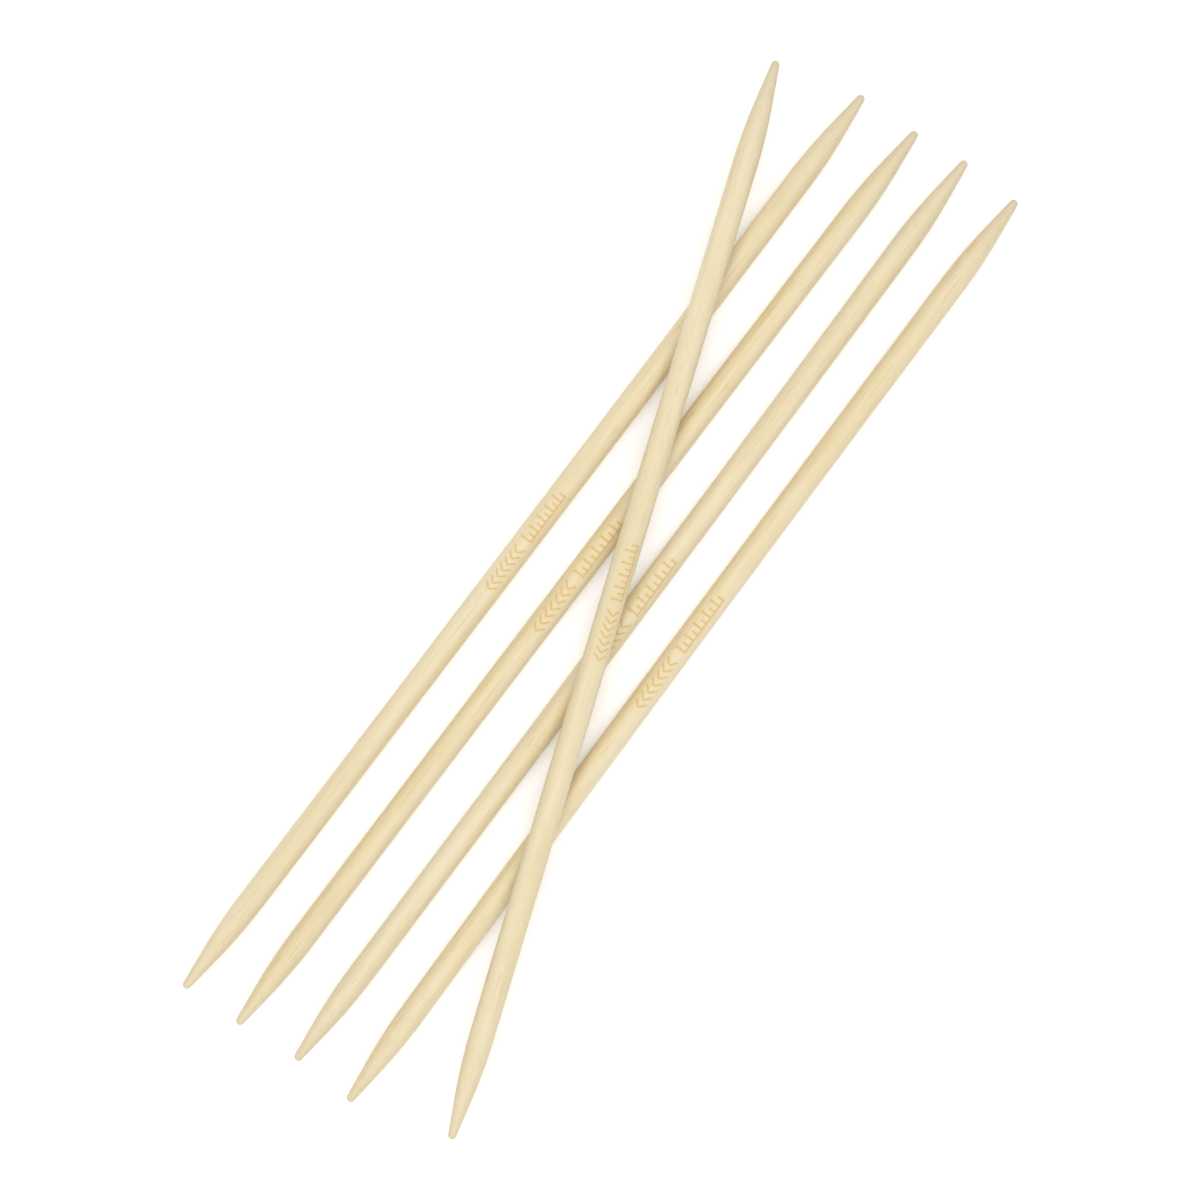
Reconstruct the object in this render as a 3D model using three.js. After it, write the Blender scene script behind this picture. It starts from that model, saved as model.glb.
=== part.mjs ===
// A set of double-pointed knitting needles turned from bamboo, as a sock knitter lays it down.
// Four holding needles lie side by side on a flat surface, and the fifth, the working needle,
// lies slantwise across the top of all four.
//
// Millimetres, +Z up. The origin is on the resting surface, under the middle of the set.
// +Y runs along needle_3, and +X is to its right.
import * as THREE from "three";

const { degToRad } = THREE.MathUtils;

// One needle. All five are alike, with the same point at both ends.
const GAUGE = 4.5; // diameter of the shaft, the size that a knitter chooses
const LENGTH = 200; // from tip to tip
const NOSE_RADIUS = 0.75; // the blunt, rounded end of each point
const POINT_HALF_ANGLE = degToRad(6.7); // between the side of the cone and the needle's axis
const SHOULDER = 6; // how far the curve from cone to shaft reaches to each side of their corner

const WAXED_ROUGHNESS = 0.5; // of the bamboo's surface, which has a satin finish

// Facets. A flat facet faces straight down, so that the needle has a true face to rest on.
const SIDES = 24;
const NOSE_STEPS = 4;
const SHOULDER_STEPS = 6;

// The layout, measured from the middle of needle_3. Turn is counterclockwise, in degrees.
const CLEARANCE = 0.3; // the gap that keeps the working needle's solid off the four under it
const HOLDING_NEEDLES = [
  { name: "needle_1", across: -22.7, along: -1.6, turn: -0.55, color: "#ecd9ae" },
  { name: "needle_2", across: -11.4, along: -1.1, turn: -0.55, color: "#efdfba" },
  { name: "needle_3", across: 0, along: 0, turn: 0, color: "#eddeb9" },
  { name: "needle_4", across: 11.3, along: -0.3, turn: 0.15, color: "#edddb6" },
];
const WORKING_NEEDLE = { name: "working_needle", across: -3.8, along: -0.35, turn: 19.9, color: "#eedfba" };

/** One point of the needle, from its nose to the start of the shaft, as radius against distance. */
function pointOutline() {
  const shaftRadius = GAUGE / 2;
  const slope = Math.tan(POINT_HALF_ANGLE);

  // The cone leaves the nose where the two are tangent, and meets the shaft at the corner.
  const coneRadius = NOSE_RADIUS * Math.cos(POINT_HALF_ANGLE);
  const coneStart = NOSE_RADIUS * (1 - Math.sin(POINT_HALF_ANGLE));
  const corner = coneStart + (shaftRadius - coneRadius) / slope;

  const nose = new THREE.EllipseCurve(
    0, NOSE_RADIUS, NOSE_RADIUS, NOSE_RADIUS, -Math.PI / 2, -POINT_HALF_ANGLE,
  );
  const shoulder = new THREE.QuadraticBezierCurve(
    new THREE.Vector2(shaftRadius - SHOULDER * slope, corner - SHOULDER),
    new THREE.Vector2(shaftRadius, corner),
    new THREE.Vector2(shaftRadius, corner + SHOULDER),
  );
  return [...nose.getPoints(NOSE_STEPS), ...shoulder.getPoints(SHOULDER_STEPS)];
}

/** A needle lying along Y with its middle at the origin, GAUGE across its flat facets. */
function needleGeometry() {
  const halfFacet = Math.PI / SIDES;
  const cornerScale = 1 / Math.cos(halfFacet);
  const nearHalf = pointOutline().map(
    (point) => new THREE.Vector2(point.x * cornerScale, point.y - LENGTH / 2),
  );
  // The first point of the outline is the tip itself, which lies on the axis.
  nearHalf[0].x = 0;
  const farHalf = nearHalf.map((point) => new THREE.Vector2(point.x, -point.y)).reverse();

  return new THREE.LatheGeometry([...nearHalf, ...farHalf], SIDES, halfFacet);
}

function bambooMaterial(color) {
  return new THREE.MeshStandardMaterial({ color, roughness: WAXED_ROUGHNESS, metalness: 0 });
}

/** Places one needle of the layout, with its lowest facet at the given height. */
function makeNeedle({ name, across, along, turn, color }, height) {
  const needle = new THREE.Mesh(needleGeometry(), bambooMaterial(color));
  needle.name = name;
  needle.position.set(across, along, height + GAUGE / 2);
  needle.rotation.z = degToRad(turn);
  return needle;
}

const layout = new THREE.Group();
for (const needle of HOLDING_NEEDLES) {
  layout.add(makeNeedle(needle, 0));
}
layout.add(makeNeedle(WORKING_NEEDLE, GAUGE + CLEARANCE));

// Bring the middle of the whole set over the origin.
const middle = new THREE.Box3().setFromObject(layout, true).getCenter(new THREE.Vector3());
layout.position.set(-middle.x, -middle.y, 0);

const needleSet = new THREE.Group();
needleSet.add(layout);

export default needleSet;
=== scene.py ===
"""Double-pointed bamboo knitting needles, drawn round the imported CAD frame.

Each needle is one closed mesh. Its shape and its place come from the CAD node that it replaces,
and the mesh adds what a ground bamboo rod has: a slight bow, a surface that isn't quite round,
and a burnt mark sunk into the shaft. Needle shapes are worked out in millimetres, in the
needle's own frame: x across, y along, z up. They go into the row frame in metres.
"""

import math
from typing import NamedTuple

import bpy
import numpy as np
from mathutils import Color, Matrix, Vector


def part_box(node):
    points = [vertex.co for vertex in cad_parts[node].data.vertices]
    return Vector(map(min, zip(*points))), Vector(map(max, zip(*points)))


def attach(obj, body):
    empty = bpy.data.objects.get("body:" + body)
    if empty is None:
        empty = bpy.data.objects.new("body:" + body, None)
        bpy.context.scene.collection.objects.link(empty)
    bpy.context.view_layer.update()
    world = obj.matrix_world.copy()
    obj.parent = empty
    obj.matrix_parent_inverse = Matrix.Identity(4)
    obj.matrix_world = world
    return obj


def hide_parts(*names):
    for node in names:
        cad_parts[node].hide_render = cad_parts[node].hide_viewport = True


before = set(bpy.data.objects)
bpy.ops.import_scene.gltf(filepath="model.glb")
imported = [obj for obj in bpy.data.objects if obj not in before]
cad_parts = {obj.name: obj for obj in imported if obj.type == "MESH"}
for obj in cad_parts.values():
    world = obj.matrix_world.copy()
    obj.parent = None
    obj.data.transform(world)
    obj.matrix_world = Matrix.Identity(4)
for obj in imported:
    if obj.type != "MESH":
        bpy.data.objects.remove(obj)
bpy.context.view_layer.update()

MM = 0.001

# ---------------------------------------------------------------- shader nodes

NOISE_ROUGHNESS = 0.6
CELL_RANDOMNESS = 0.95

# The sockets of a Mix node that mixes colours. Several share a name, so they go by number.
MIX_SHARE = 0
MIX_FIRST = 6
MIX_SECOND = 7
MIX_RESULT = 2


class Pattern(NamedTuple):
    """A pattern in the cane, drawn out along it."""

    stretch: float  # how many times longer than wide
    scale: float  # how many to a millimetre, across the cane
    detail: float = 0.0


class Graph:
    """Adds nodes to a material. An input is a number, a colour or another node's output."""

    def __init__(self, material):
        self.tree = material.node_tree

    def add(self, kind, inputs=None, output=0, **settings):
        node = self.tree.nodes.new(kind)
        for key, value in settings.items():
            setattr(node, key, value)
        for key, value in (inputs or {}).items():
            self.feed(node.inputs[key], value)
        return node.outputs[output]

    def feed(self, socket, value):
        if isinstance(value, bpy.types.NodeSocket):
            self.tree.links.new(value, socket)
        else:
            socket.default_value = value

    def attribute(self, name, output="Fac"):
        return self.add("ShaderNodeAttribute", output=output, attribute_name=name)

    def math(self, operation, first, second):
        return self.add("ShaderNodeMath", {0: first, 1: second}, operation=operation)

    def times(self, first, second):
        return self.math("MULTIPLY", first, second)

    def ramp(self, value, across=(0.0, 1.0), to=(0.0, 1.0)):
        """Turns a value that goes across one range smoothly into another range."""
        inputs = {"Value": value, "From Min": across[0], "From Max": across[1]}
        inputs |= {"To Min": to[0], "To Max": to[1]}
        return self.add("ShaderNodeMapRange", inputs, interpolation_type="SMOOTHSTEP")

    def mix(self, share, first, second):
        inputs = {MIX_SHARE: share, MIX_FIRST: first, MIX_SECOND: second}
        return self.add("ShaderNodeMix", inputs, output=MIX_RESULT, data_type="RGBA")

    def drawn_out(self, grain, stretch):
        return self.add("ShaderNodeMapping", {"Vector": grain, "Scale": (1, 1 / stretch, 1)})

    def noise(self, grain, pattern):
        space = self.drawn_out(grain, pattern.stretch)
        inputs = {"Vector": space, "Scale": pattern.scale, "Detail": pattern.detail}
        return self.add("ShaderNodeTexNoise", inputs | {"Roughness": NOISE_ROUGHNESS})

    def cells(self, grain, pattern):
        """Long cells side by side: distance to the middle of a cell, and a number for each cell."""
        space = self.drawn_out(grain, pattern.stretch)
        inputs = {"Vector": space, "Scale": pattern.scale, "Randomness": CELL_RANDOMNESS}
        distance = self.add("ShaderNodeTexVoronoi", inputs, output="Distance")
        colour = self.add("ShaderNodeTexVoronoi", inputs, output="Color")
        return distance, self.add("ShaderNodeSeparateColor", {0: colour})


# ---------------------------------------------------------------- camera, light and floor

# Sizes here are in metres, and the softbox's power is in watts.
CAMERA_HEIGHT = 0.94  # above the axes of the needles that lie on the floor
VIEW_WIDTH = 0.2141  # of the picture, at that height
VIEW_MIDDLE = Vector((-0.00189, -0.001, 0.0))  # the set lies a little off the picture's middle
VIEW_ROLL = math.radians(36.7)  # how far needle_3 leans to the right of upright
SENSOR_WIDTH = 36.0  # in millimetres

SKY_STRENGTH = 0.62
SOFTBOX_SIZE = 4.8  # across
SOFTBOX_HEIGHT = 3.0
SOFTBOX_POWER = 88.0

FLOOR_SIZE = 16.0
FLOOR_WHITE = 0.86
FLOOR_ROUGHNESS = 0.9

# The floor is lit from below as well, like a light table. The glow is strongest in the middle,
# and at the horizon it is what makes the floor as bright as the sky.
MIDDLE_GLOW = 0.18
HORIZON_GLOW = (1 - FLOOR_WHITE) * SKY_STRENGTH
GLOW_RADIUS = 5.0


def add_to_scene(name, data):
    made = bpy.data.objects.new(name, data)
    bpy.context.scene.collection.objects.link(made)
    return made


def make_camera(axis_height):
    data = bpy.data.cameras.new("camera")
    data.sensor_width = SENSOR_WIDTH
    data.lens = SENSOR_WIDTH * CAMERA_HEIGHT / VIEW_WIDTH
    camera = add_to_scene("camera", data)
    camera.location = VIEW_MIDDLE + Vector((0, 0, axis_height + CAMERA_HEIGHT))
    camera.rotation_euler = (0, 0, VIEW_ROLL)
    bpy.context.scene.camera = camera


def make_light():
    """An even white studio with one large soft light overhead."""
    world = bpy.data.worlds.new("studio")
    world.use_nodes = True
    sky = world.node_tree.nodes["Background"]
    sky.inputs["Color"].default_value = (1, 1, 1, 1)
    sky.inputs["Strength"].default_value = SKY_STRENGTH
    bpy.context.scene.world = world

    softbox = bpy.data.lights.new("softbox", "AREA")
    softbox.shape = "DISK"
    softbox.size = SOFTBOX_SIZE
    softbox.energy = SOFTBOX_POWER
    add_to_scene("softbox", softbox).location = (0, 0, SOFTBOX_HEIGHT)
    bpy.context.scene.view_settings.view_transform = "Standard"


def make_floor():
    half = FLOOR_SIZE / 2
    mesh = bpy.data.meshes.new("floor")
    corners = [(-half, -half, 0), (half, -half, 0), (half, half, 0), (-half, half, 0)]
    mesh.from_pydata(corners, [], [(0, 1, 2, 3)])
    material = bpy.data.materials.new("white_acrylic")
    material.use_nodes = True
    graph = Graph(material)
    shader = material.node_tree.nodes["Principled BSDF"]
    shader.inputs["Base Color"].default_value = (FLOOR_WHITE, FLOOR_WHITE, FLOOR_WHITE, 1)
    shader.inputs["Roughness"].default_value = FLOOR_ROUGHNESS
    shader.inputs["Emission Color"].default_value = (1, 1, 1, 1)
    place = graph.add("ShaderNodeTexCoord", output="Object")
    spot = graph.add("ShaderNodeMapping", {"Vector": place, "Scale": [1 / GLOW_RADIUS] * 3})
    fade = graph.add(
        "ShaderNodeTexGradient", {"Vector": spot}, output="Fac", gradient_type="SPHERICAL"
    )
    glow = graph.ramp(fade, to=(HORIZON_GLOW, MIDDLE_GLOW))
    graph.feed(shader.inputs["Emission Strength"], glow)
    mesh.materials.append(material)
    add_to_scene("floor", mesh)


# ---------------------------------------------------------------- a needle's outline

GAUGE = (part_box("needle_3")[1].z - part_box("needle_3")[0].z) / MM
LENGTH = (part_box("needle_3")[1].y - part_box("needle_3")[0].y) / MM
SHAFT_RADIUS = GAUGE / 2
HALF_LENGTH = LENGTH / 2

NOSE_RADIUS = 0.75
POINT_HALF_ANGLE = math.radians(6.7)
SHOULDER = 6.0

# The cone leaves the round nose where the two are tangent, and meets the shaft at the corner
# that the shoulder rounds off. Both are distances from the tip.
SLOPE = math.tan(POINT_HALF_ANGLE)
CONE_START = NOSE_RADIUS * (1 - math.sin(POINT_HALF_ANGLE))
CONE_START_RADIUS = NOSE_RADIUS * math.cos(POINT_HALF_ANGLE)
CORNER = CONE_START + (SHAFT_RADIUS - CONE_START_RADIUS) / SLOPE
POINT_LENGTH = CORNER + SHOULDER


def outline(distance):
    """Radius of a needle at a distance from its tip: nose, cone, shoulder, then shaft."""
    nose = np.sqrt(np.maximum(2 * NOSE_RADIUS * distance - distance**2, 0))
    cone = CONE_START_RADIUS + (distance - CONE_START) * SLOPE
    along_shoulder = np.clip((distance - CORNER + SHOULDER) / (2 * SHOULDER), 0, 1)
    shoulder = SHAFT_RADIUS - SHOULDER * SLOPE * (1 - along_shoulder) ** 2
    past_nose = np.where(distance < CORNER - SHOULDER, cone, shoulder)
    return np.where(distance < CONE_START, nose, past_nose)


# ---------------------------------------------------------------- the burnt mark

# A row of knit stitches, then a rule with a division for each millimetre of gauge.
MARK_HEIGHT = 2.1
STITCHES = 7
STITCH_PITCH = 1.36
STITCH_LEAN = 0.85
STITCH_FOOT = 0.14  # half the gap between the two legs of a stitch
RULE_START = 11.1
RULE_DIVISION = 2.24
RULE_HALVES = round(2 * GAUGE)
RULE_SHORT_TOP = 0.1
MARK_LENGTH = RULE_START + RULE_HALVES * RULE_DIVISION / 2

STROKE_WIDTH = 0.3
STROKE_SOFTNESS = 0.12
MARK_DEPTH = 0.05
SCORCH_REACH = 0.5


def mark_strokes():
    """The strokes of the mark as pairs of end points: along the needle, then up the mark."""
    top = MARK_HEIGHT / 2
    strokes = []
    for stitch in range(STITCHES):
        foot = stitch * STITCH_PITCH
        for side in (-1, 1):
            strokes.append(((foot, side * STITCH_FOOT), (foot + STITCH_LEAN, side * top)))
    strokes.append(((RULE_START, -top), (MARK_LENGTH, -top)))
    for half in range(RULE_HALVES + 1):
        place = RULE_START + half * RULE_DIVISION / 2
        tick_top = top if half % 2 == 0 else RULE_SHORT_TOP
        strokes.append(((place, -top), (place, tick_top)))
    return strokes


def distance_to_mark(along, up):
    """Distance from each point to the nearest stroke of the mark."""
    nearest = np.full(along.shape, np.inf)
    for start, end in mark_strokes():
        reach = np.subtract(end, start)
        share = ((along - start[0]) * reach[0] + (up - start[1]) * reach[1]) / (reach @ reach)
        share = np.clip(share, 0, 1)
        gap = np.hypot(along - start[0] - share * reach[0], up - start[1] - share * reach[1])
        nearest = np.minimum(nearest, gap)
    return nearest


# ---------------------------------------------------------------- needle meshes

# How finely the surface is divided, in millimetres.
POINT_RING = 0.4
SHAFT_RING = 1.6
MARK_RING = 0.08
MARK_COLUMN = 0.07
PLAIN_COLUMN = 0.2
MARK_MARGIN = 0.8
NOSE_RINGS = 8

# How far grinding leaves the surface off a true round, in millimetres, for each count of lobes.
# The lobes wind round the needle and come and go along it, in radians per millimetre.
LOBES = {2: 0.016, 3: 0.01, 5: 0.006, 9: 0.003}
WAVES_PER_LOBE_COUNT = 3
LOBE_TWIST = 0.04
LOBE_SWELL = (0.03, 0.12)

# The CAD solids keep clear of each other. The real working needle lies on the four under it, so
# its mesh is lowered, in millimetres.
SETTLE = {"working_needle": 0.24}

# Each needle is cut from a place of its own in the cane, in millimetres.
PLACE_IN_CANE = (50, 400)

# The points are darker where ground across the fibres; the far ones also carry painted shade.
NEAR_POINT_TONE = 0.45
FAR_POINT_GRAIN_AND_SHADE = 1.0
POINT_FADE = 11.0  # in millimetres, from the tip


class Look(NamedTuple):
    """What differs from one needle to the next. Angles are in degrees, rightwards from the top."""

    bow: float  # sideways, in millimetres, towards the needle's right
    rind_side: float  # where the wood from the hard outer side of the cane faces
    rind: float  # how strongly that side shows
    mark_start: float  # in millimetres from the needle's middle
    mark_scale: float  # of the mark's length
    mark_roll: float  # where the mark faces
    seed: int


LOOKS = {
    "needle_1": Look(
        bow=0.2, rind_side=100, rind=0.75, mark_start=-10.4, mark_scale=1.0, mark_roll=-2, seed=3
    ),
    "needle_2": Look(
        bow=-0.15, rind_side=-75, rind=1.0, mark_start=-11.8, mark_scale=1.14, mark_roll=0, seed=8
    ),
    "needle_3": Look(
        bow=0.25, rind_side=130, rind=0.6, mark_start=-12.6, mark_scale=1.14, mark_roll=6, seed=14
    ),
    "needle_4": Look(
        bow=-0.4, rind_side=-80, rind=0.85, mark_start=-12.6, mark_scale=1.14, mark_roll=-1, seed=21
    ),
    "working_needle": Look(
        bow=-0.15, rind_side=150, rind=0.55, mark_start=-10.9, mark_scale=1.0, mark_roll=18, seed=27
    ),
}


def spaced(low, high, step):
    """Evenly spaced numbers from low up to high, high left out, at most step apart."""
    return np.linspace(low, high, math.ceil((high - low) / step), endpoint=False)


def ring_places(mark_low, mark_high):
    """Places of the rings along a needle, closer together at the points and on the mark."""
    nose_turn = np.linspace(0, math.pi / 2 - POINT_HALF_ANGLE, NOSE_RINGS + 1)[1:-1]
    nose = NOSE_RADIUS * (1 - np.cos(nose_turn))
    near_point = np.concatenate([nose, spaced(CONE_START, POINT_LENGTH, POINT_RING)]) - HALF_LENGTH
    shaft_end = HALF_LENGTH - POINT_LENGTH
    shaft = [
        spaced(-shaft_end, mark_low, SHAFT_RING),
        spaced(mark_low, mark_high, MARK_RING),
        spaced(mark_high, shaft_end, SHAFT_RING),
        [shaft_end],
    ]
    return np.concatenate([near_point, *shaft, -near_point[::-1]])


def column_angles(mark_roll):
    """Angles of the columns round a needle, from straight up, closer together on the mark."""
    mark_half = (MARK_HEIGHT / 2 + MARK_MARGIN) / SHAFT_RADIUS
    mark = spaced(-mark_half, mark_half, MARK_COLUMN / SHAFT_RADIUS)
    plain = spaced(mark_half, 2 * math.pi - mark_half, PLAIN_COLUMN / SHAFT_RADIUS)
    return np.concatenate([mark, plain]) + mark_roll


def hand_finish(angle, along, rng):
    """How far the ground surface stands off a true round, in millimetres."""
    error = np.zeros_like(angle)
    for lobes, size in LOBES.items():
        for _ in range(WAVES_PER_LOBE_COUNT):
            twist = rng.uniform(-LOBE_TWIST, LOBE_TWIST)
            start = rng.uniform(0, 2 * math.pi)
            swell_phase = along * rng.uniform(*LOBE_SWELL) + rng.uniform(0, 2 * math.pi)
            swell = 0.5 + 0.5 * np.sin(swell_phase)
            wave = np.cos(lobes * angle + twist * along + start)
            error += size / WAVES_PER_LOBE_COUNT * swell * wave
    return error


def axis_of(node):
    """Middle and direction of a CAD needle, in the row frame."""
    low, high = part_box(node)
    middle = (low + high) / 2
    points = np.array([vertex.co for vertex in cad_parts[node].data.vertices])
    direction = Vector(np.linalg.svd(points - np.array(middle), full_matrices=False)[2][0])
    return middle, direction if direction.y > 0 else -direction


def put_in_place(node, local):
    """Takes points from a needle's own frame to where the CAD node lies in the row frame."""
    middle, direction = axis_of(node)
    up = Vector((0, 0, 1))
    axes = np.array([direction.cross(up), direction, up])
    lowered = np.array([0, 0, SETTLE.get(node, 0)])
    return np.array(middle) + (local @ axes - lowered) * MM


def set_attribute(mesh, name, kind, values):
    attribute = mesh.attributes.new(name, kind, "POINT")
    key = "vector" if kind == "FLOAT_VECTOR" else "value"
    attribute.data.foreach_set(key, values.astype(np.float32).ravel())


def tube_faces(rings, columns):
    """Quads between the rings, and a fan of triangles at each end. The two tips come last."""
    ring = np.arange(rings - 1)[:, None] * columns
    here = np.arange(columns)[None, :]
    after = (here + 1) % columns
    quads = np.stack([ring + here, ring + after, ring + columns + after, ring + columns + here], -1)
    faces = quads.reshape(-1, 4).tolist()
    near_tip = rings * columns
    far_tip = near_tip + 1
    last = (rings - 1) * columns
    for column in range(columns):
        following = (column + 1) % columns
        faces.append((near_tip, following, column))
        faces.append((far_tip, last + column, last + following))
    return faces


def mark_on(angle, along, look):
    """How far each point of the surface lies from the nearest stroke of the needle's mark."""
    # The mark reads towards the far tip, with its top to the left.
    turn = angle - math.radians(look.mark_roll)
    turn = np.where(turn > math.pi, turn - 2 * math.pi, turn)
    return distance_to_mark((along - look.mark_start) / look.mark_scale, -turn * SHAFT_RADIUS)


def make_needle(node, look, material):
    """One needle as a closed mesh that stands for its CAD node."""
    rng = np.random.default_rng(look.seed)
    mark_low = look.mark_start - MARK_MARGIN
    mark_high = look.mark_start + MARK_LENGTH * look.mark_scale + MARK_MARGIN
    rings = ring_places(mark_low, mark_high)
    columns = column_angles(math.radians(look.mark_roll))

    # The points of every ring, and last the two tips.
    along = np.append(np.repeat(rings, len(columns)), [-HALF_LENGTH, HALF_LENGTH])
    angle = np.append(np.tile(columns, len(rings)), [0, 0])
    to_tip = HALF_LENGTH - abs(along)

    gap = mark_on(angle, along, look)
    burn = np.clip((STROKE_WIDTH / 2 - gap) / STROKE_SOFTNESS + 0.5, 0, 1)
    scorch = np.exp(-((gap / SCORCH_REACH) ** 2))

    round_radius = outline(to_tip)
    thickness = round_radius / SHAFT_RADIUS
    radius = round_radius + hand_finish(angle, along, rng) * thickness - MARK_DEPTH * burn
    # Half of the bow goes one way at the middle, and half the other way at the ends.
    bow = look.bow * (0.5 - (along / HALF_LENGTH) ** 2)
    local = np.stack([radius * np.sin(angle) + bow, along, radius * np.cos(angle)], -1)

    mesh = bpy.data.meshes.new(f"bamboo_{node}")
    faces = tube_faces(len(rings), len(columns))
    mesh.from_pydata(put_in_place(node, local).tolist(), [], faces)
    mesh.shade_smooth()
    mesh.materials.append(material)

    # Where each point lies in the cane, so that the fibres run straight through the needle.
    set_attribute(mesh, "grain", "FLOAT_VECTOR", local + rng.uniform(*PLACE_IN_CANE, 3))
    facing_rind = 0.5 + 0.5 * thickness * np.cos(angle - math.radians(look.rind_side))
    # The darker points are end grain, and at the far end partly painted shade.
    point_grain_and_shade = np.where(along < 0, NEAR_POINT_TONE, FAR_POINT_GRAIN_AND_SHADE)
    set_attribute(mesh, "rind", "FLOAT", look.rind * facing_rind)
    set_attribute(mesh, "burn", "FLOAT", burn)
    set_attribute(mesh, "scorch", "FLOAT", scorch)
    set_attribute(mesh, "point", "FLOAT", point_grain_and_shade * np.exp(-to_tip / POINT_FADE))

    piece = add_to_scene(f"bamboo_{node}", mesh)
    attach(piece, node)
    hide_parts(node)


# ---------------------------------------------------------------- bamboo


def linear(red, green, blue):
    """A colour given as it looks on screen, 0 to 255, as the linear colour that a shader takes."""
    shown = Color((red / 255, green / 255, blue / 255))
    return (*shown.from_srgb_to_scene_linear(), 1)


PALE = linear(223, 210, 178)
STRAW = linear(219, 204, 167)
RIND = linear(219, 201, 156)
VEIN = linear(201, 174, 124)
VESSEL = linear(158, 120, 72)
POINT = linear(204, 191, 161)
SCORCH = linear(220, 197, 142)
BURN = linear(194, 155, 92)

BUNDLES = Pattern(stretch=55, scale=2.4)
VESSELS = Pattern(stretch=40, scale=5.5)
FIBRES = Pattern(stretch=70, scale=6.0, detail=4.0)
HAIRS = Pattern(stretch=45, scale=22.0, detail=2.0)
DRIFT = Pattern(stretch=14, scale=0.35, detail=2.0)
PATCHES = Pattern(stretch=1, scale=4.0, detail=3.0)

# How strongly each part of the bamboo shows over the pale wood. Pairs go from least to most.
BUNDLE_SHOWS = (0.1, 0.5)
VESSEL_SHOWS = 0.4
FIBRES_SHOW = (0.0, 0.35)
HAIRS_SHOW = (0.0, 0.22)
RIND_SHOWS = (0.35, 1.0)
SCORCH_SHOWS = 0.55
BURN_SHOWS = (0.35, 0.65)

# The values of a pattern, or of the rind attribute, between which each part goes from its least
# to its most.
STRAW_BAND = (0.35, 0.65)
RIND_BAND = (0.3, 0.95)
RIND_STREAK_BAND = (0.35, 0.6)
FIBRE_BAND = (0.48, 0.72)
HAIR_BAND = (0.52, 0.7)
BURN_BAND = (0.3, 0.65)
WAX_BAND = (0.3, 0.7)

# A bundle's radius as a share of its cell, from the pith side to the rind side, and the part of
# that radius over which it fades out.
BUNDLE_SIZE = (0.24, 0.4)
BUNDLE_EDGE = (0.55, 1.0)

# Where a vessel fades out, as a share of its cell, and how the cell's random number opens it:
# not at all up to the first value, and fully at the second.
VESSEL_EDGE = (0.1, 0.22)
VESSEL_BAND = (0.45, 1.0)

WAXED_ROUGHNESS = (0.48, 0.6)
BURNT_ROUGHNESS = 0.25  # added where the mark is burnt
FIBRE_RELIEF = 0.6
HAIR_RELIEF = 0.3
VESSEL_RELIEF = 0.8
RELIEF = {"Strength": 0.6, "Distance": 0.04 * MM}
WAX = {"IOR": 1.5, "Specular IOR Level": 0.25, "Coat Weight": 0.05, "Coat Roughness": 0.3}


def fibre_bundles(graph, grain, rind):
    """Brown bundles that run through the cane like the lead of a pencil, larger at the rind."""
    distance, pick = graph.cells(grain, BUNDLES)
    size = graph.ramp(rind, to=BUNDLE_SIZE)
    bundle = graph.ramp(graph.math("DIVIDE", distance, size), across=BUNDLE_EDGE, to=(1.0, 0.0))
    return graph.times(bundle, graph.ramp(pick, to=BUNDLE_SHOWS))


def open_vessels(graph, grain):
    """Thin dark vessels that the surface cuts open here and there."""
    distance, pick = graph.cells(grain, VESSELS)
    vessel = graph.ramp(distance, across=VESSEL_EDGE, to=(1.0, 0.0))
    return graph.times(vessel, graph.ramp(pick, across=VESSEL_BAND))


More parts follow.
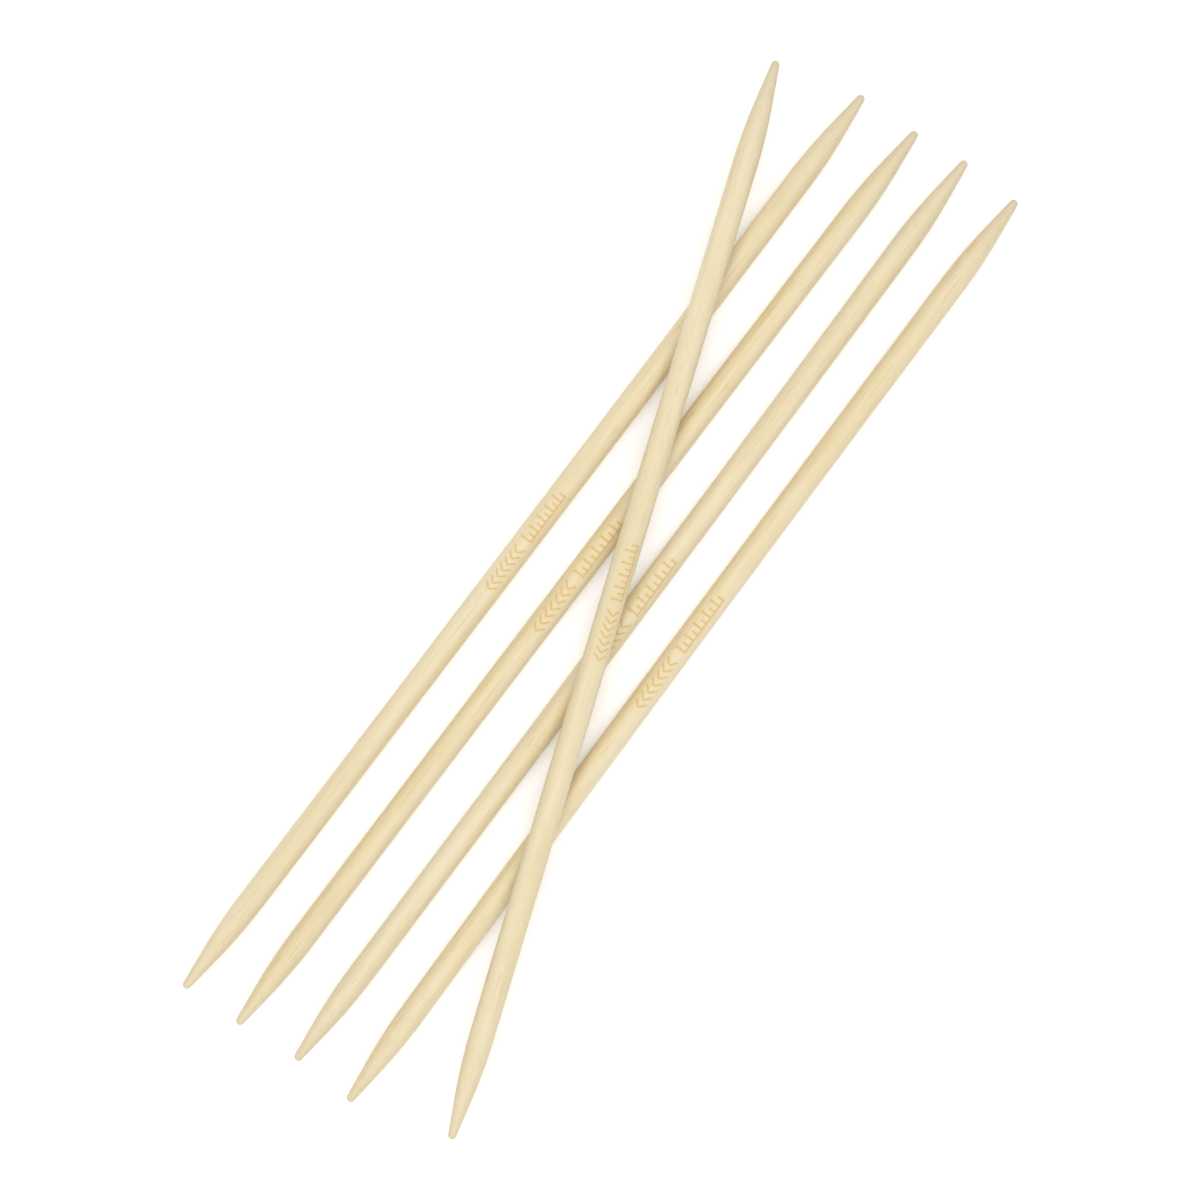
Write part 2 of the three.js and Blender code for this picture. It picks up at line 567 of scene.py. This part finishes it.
def bamboo_colour(graph, grain, fibres, hairs, vessels):
    """Pale wood with a warmer rind side, darker points partly of painted shade, brown veins and
    vessels, and the mark.
    """
    rind = graph.attribute("rind")
    drift = graph.noise(grain, DRIFT)
    colour = graph.mix(graph.ramp(drift, across=STRAW_BAND), PALE, STRAW)
    rind_streaks = graph.ramp(fibres, across=RIND_STREAK_BAND, to=RIND_SHOWS)
    rind_share = graph.times(graph.ramp(rind, across=RIND_BAND), rind_streaks)
    colour = graph.mix(rind_share, colour, RIND)
    # Darker points: end grain, with painted shade on the far ones.
    colour = graph.mix(graph.attribute("point"), colour, POINT)
    colour = graph.mix(graph.ramp(fibres, across=FIBRE_BAND, to=FIBRES_SHOW), colour, VEIN)
    colour = graph.mix(graph.ramp(hairs, across=HAIR_BAND, to=HAIRS_SHOW), colour, VEIN)
    colour = graph.mix(fibre_bundles(graph, grain, rind), colour, VEIN)
    colour = graph.mix(graph.times(vessels, VESSEL_SHOWS), colour, VESSEL)

    # The mark is burnt unevenly, because fibres and pith take the heat differently.
    patchy = graph.ramp(graph.noise(grain, PATCHES), across=BURN_BAND, to=BURN_SHOWS)
    colour = graph.mix(graph.times(graph.attribute("scorch"), SCORCH_SHOWS), colour, SCORCH)
    return graph.mix(graph.times(graph.attribute("burn"), patchy), colour, BURN)


def make_bamboo():
    """Pale bamboo with straight fibres, brown bundles of fibres, and a wax finish."""
    material = bpy.data.materials.new("bamboo")
    material.use_nodes = True
    graph = Graph(material)
    shader = material.node_tree.nodes["Principled BSDF"]

    grain = graph.attribute("grain", "Vector")
    fibres = graph.noise(grain, FIBRES)
    hairs = graph.noise(grain, HAIRS)
    vessels = open_vessels(graph, grain)
    graph.feed(shader.inputs["Base Color"], bamboo_colour(graph, grain, fibres, hairs, vessels))

    # Burning takes the wax off.
    waxed = graph.ramp(fibres, across=WAX_BAND, to=WAXED_ROUGHNESS)
    dull = graph.times(graph.attribute("burn"), BURNT_ROUGHNESS)
    graph.feed(shader.inputs["Roughness"], graph.math("ADD", waxed, dull))

    # Wax lies over the fibres, and the vessels stay open as fine grooves.
    fine_ridges = graph.times(hairs, HAIR_RELIEF)
    ridges = graph.math("ADD", graph.times(fibres, FIBRE_RELIEF), fine_ridges)
    height = graph.math("SUBTRACT", ridges, graph.times(vessels, VESSEL_RELIEF))
    graph.feed(shader.inputs["Normal"], graph.add("ShaderNodeBump", {"Height": height} | RELIEF))
    for name, value in WAX.items():
        shader.inputs[name].default_value = value
    return material


# ---------------------------------------------------------------- the scene

make_camera(SHAFT_RADIUS * MM)
bamboo = make_bamboo()
for node, look in LOOKS.items():
    make_needle(node, look, bamboo)
make_floor()
make_light()
